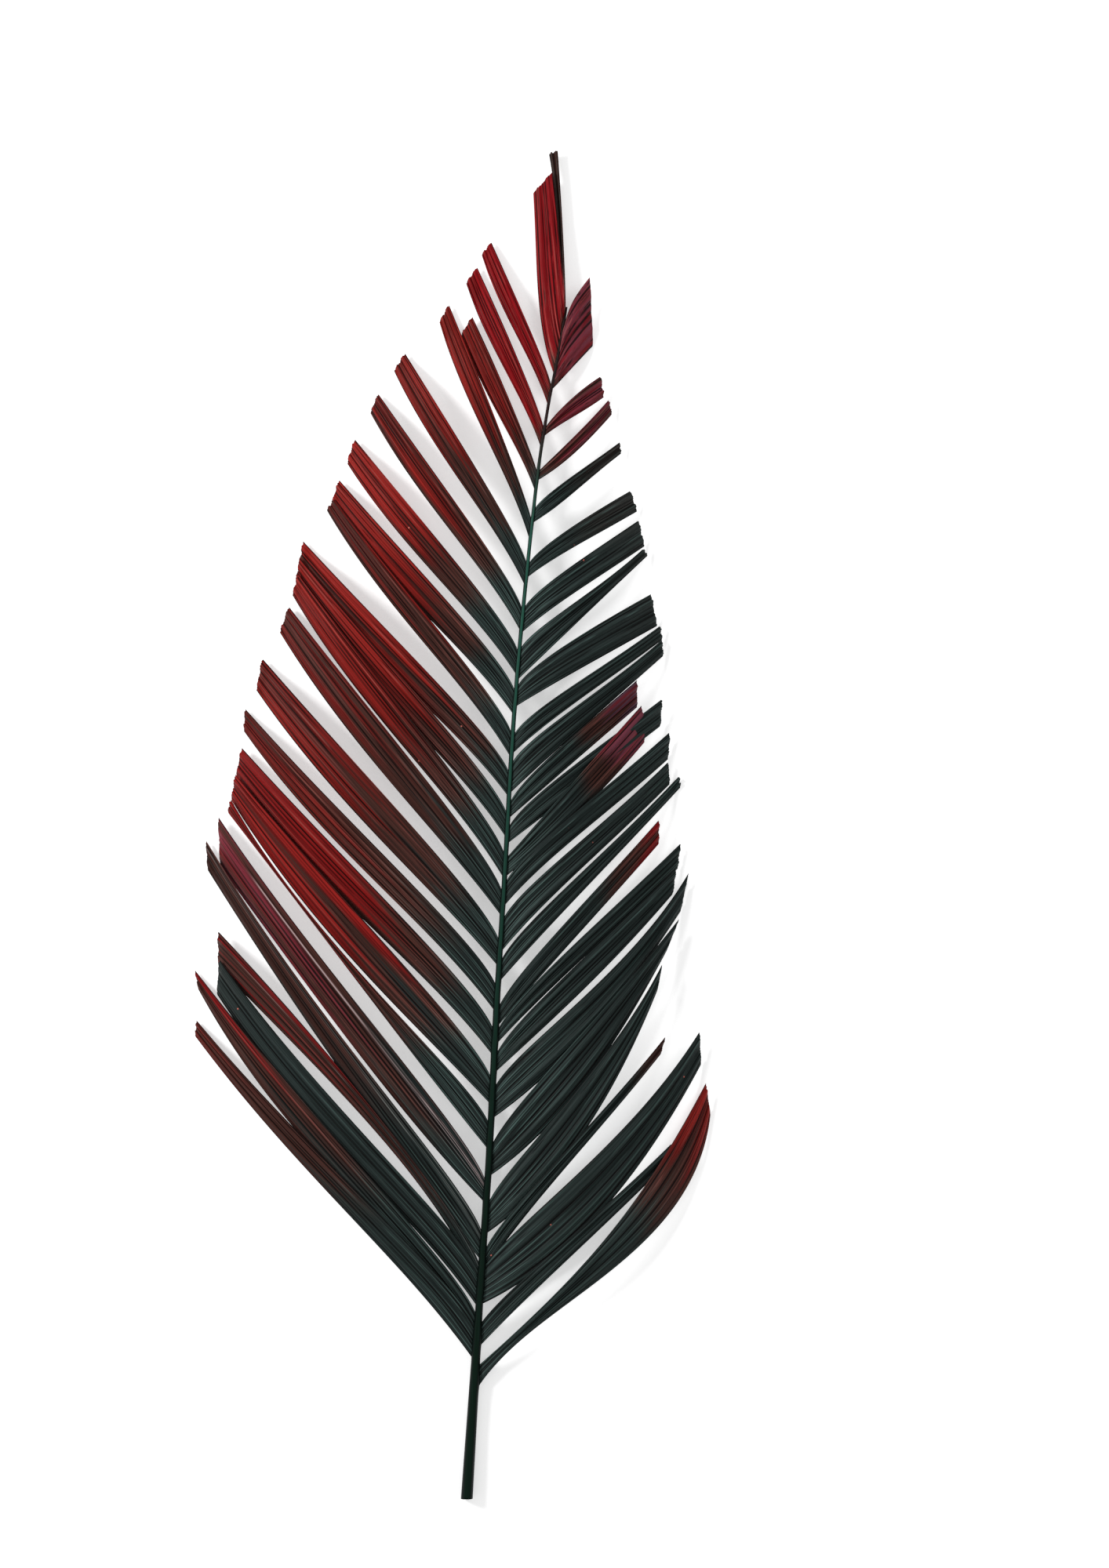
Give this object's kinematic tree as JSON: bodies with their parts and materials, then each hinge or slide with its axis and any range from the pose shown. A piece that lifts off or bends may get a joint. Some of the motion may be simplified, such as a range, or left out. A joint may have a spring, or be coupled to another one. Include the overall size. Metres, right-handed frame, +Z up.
{
  "type": "preserved areca palm frond",
  "caption": "Dyed, preserved areca palm frond lying face up: a petiole and arched rachis with long pleated leaflets along both sides, their ends cut to a slender outline.",
  "frame": {"origin": "middle of the frond's box, at the height of the surface it lies on", "axes": "+Y from the cut end of the petiole towards the tip, +Z up from the surface, the frond lying face up"},
  "size_m": [0.3288, 0.8596, 0.03],
  "materials": {
    "leaf": "dyed and preserved leaf, satin, red to green-black"
  },
  "bodies": {
    "root": {"frond": "leaf"}
  },
  "joints": []
}
